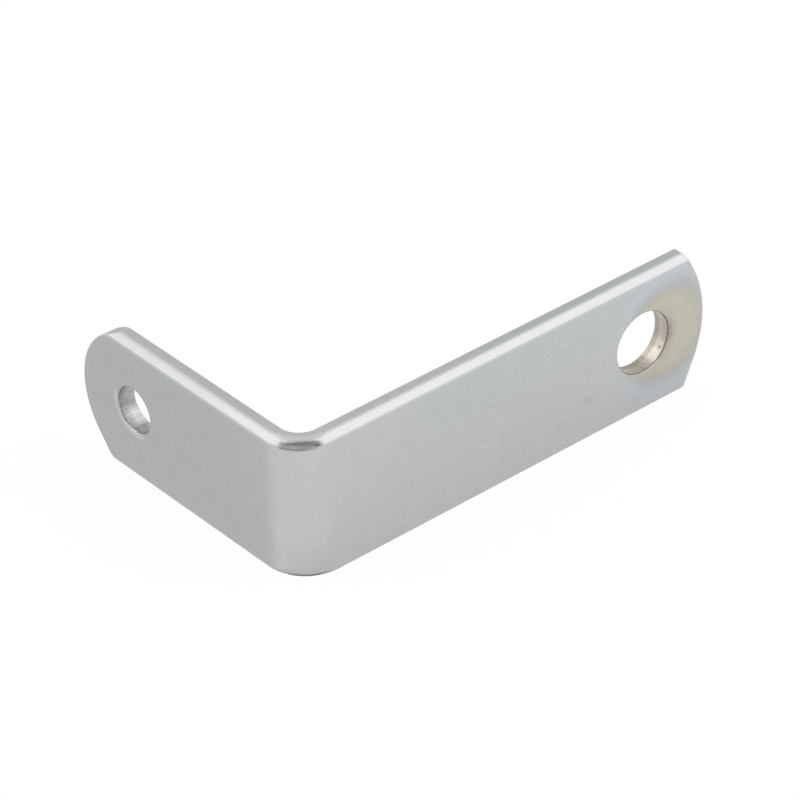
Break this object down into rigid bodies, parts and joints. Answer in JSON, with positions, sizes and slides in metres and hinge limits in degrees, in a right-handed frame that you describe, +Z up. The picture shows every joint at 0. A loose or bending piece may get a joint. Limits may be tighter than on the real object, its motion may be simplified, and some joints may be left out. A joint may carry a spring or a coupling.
{
  "type": "stamped metal bracket",
  "caption": "Right-angle strip bracket with rounded ends, a larger hole in the long leg and a smaller hole in the short leg.",
  "frame": {"origin": "middle of the bounding box seen from above, at the height of the strip's lower edge", "axes": "+X along the long leg away from the fold, +Y along the short leg away from the fold, +Z up across the strip's width; the outer faces look towards -Y and -X"},
  "size_m": [0.0686, 0.0434, 0.0203],
  "materials": {
    "plated_steel": "satin nickel plating over steel, with a faint straw tint round the larger hole"
  },
  "bodies": {
    "root": {"bracket": "plated_steel"}
  },
  "joints": []
}
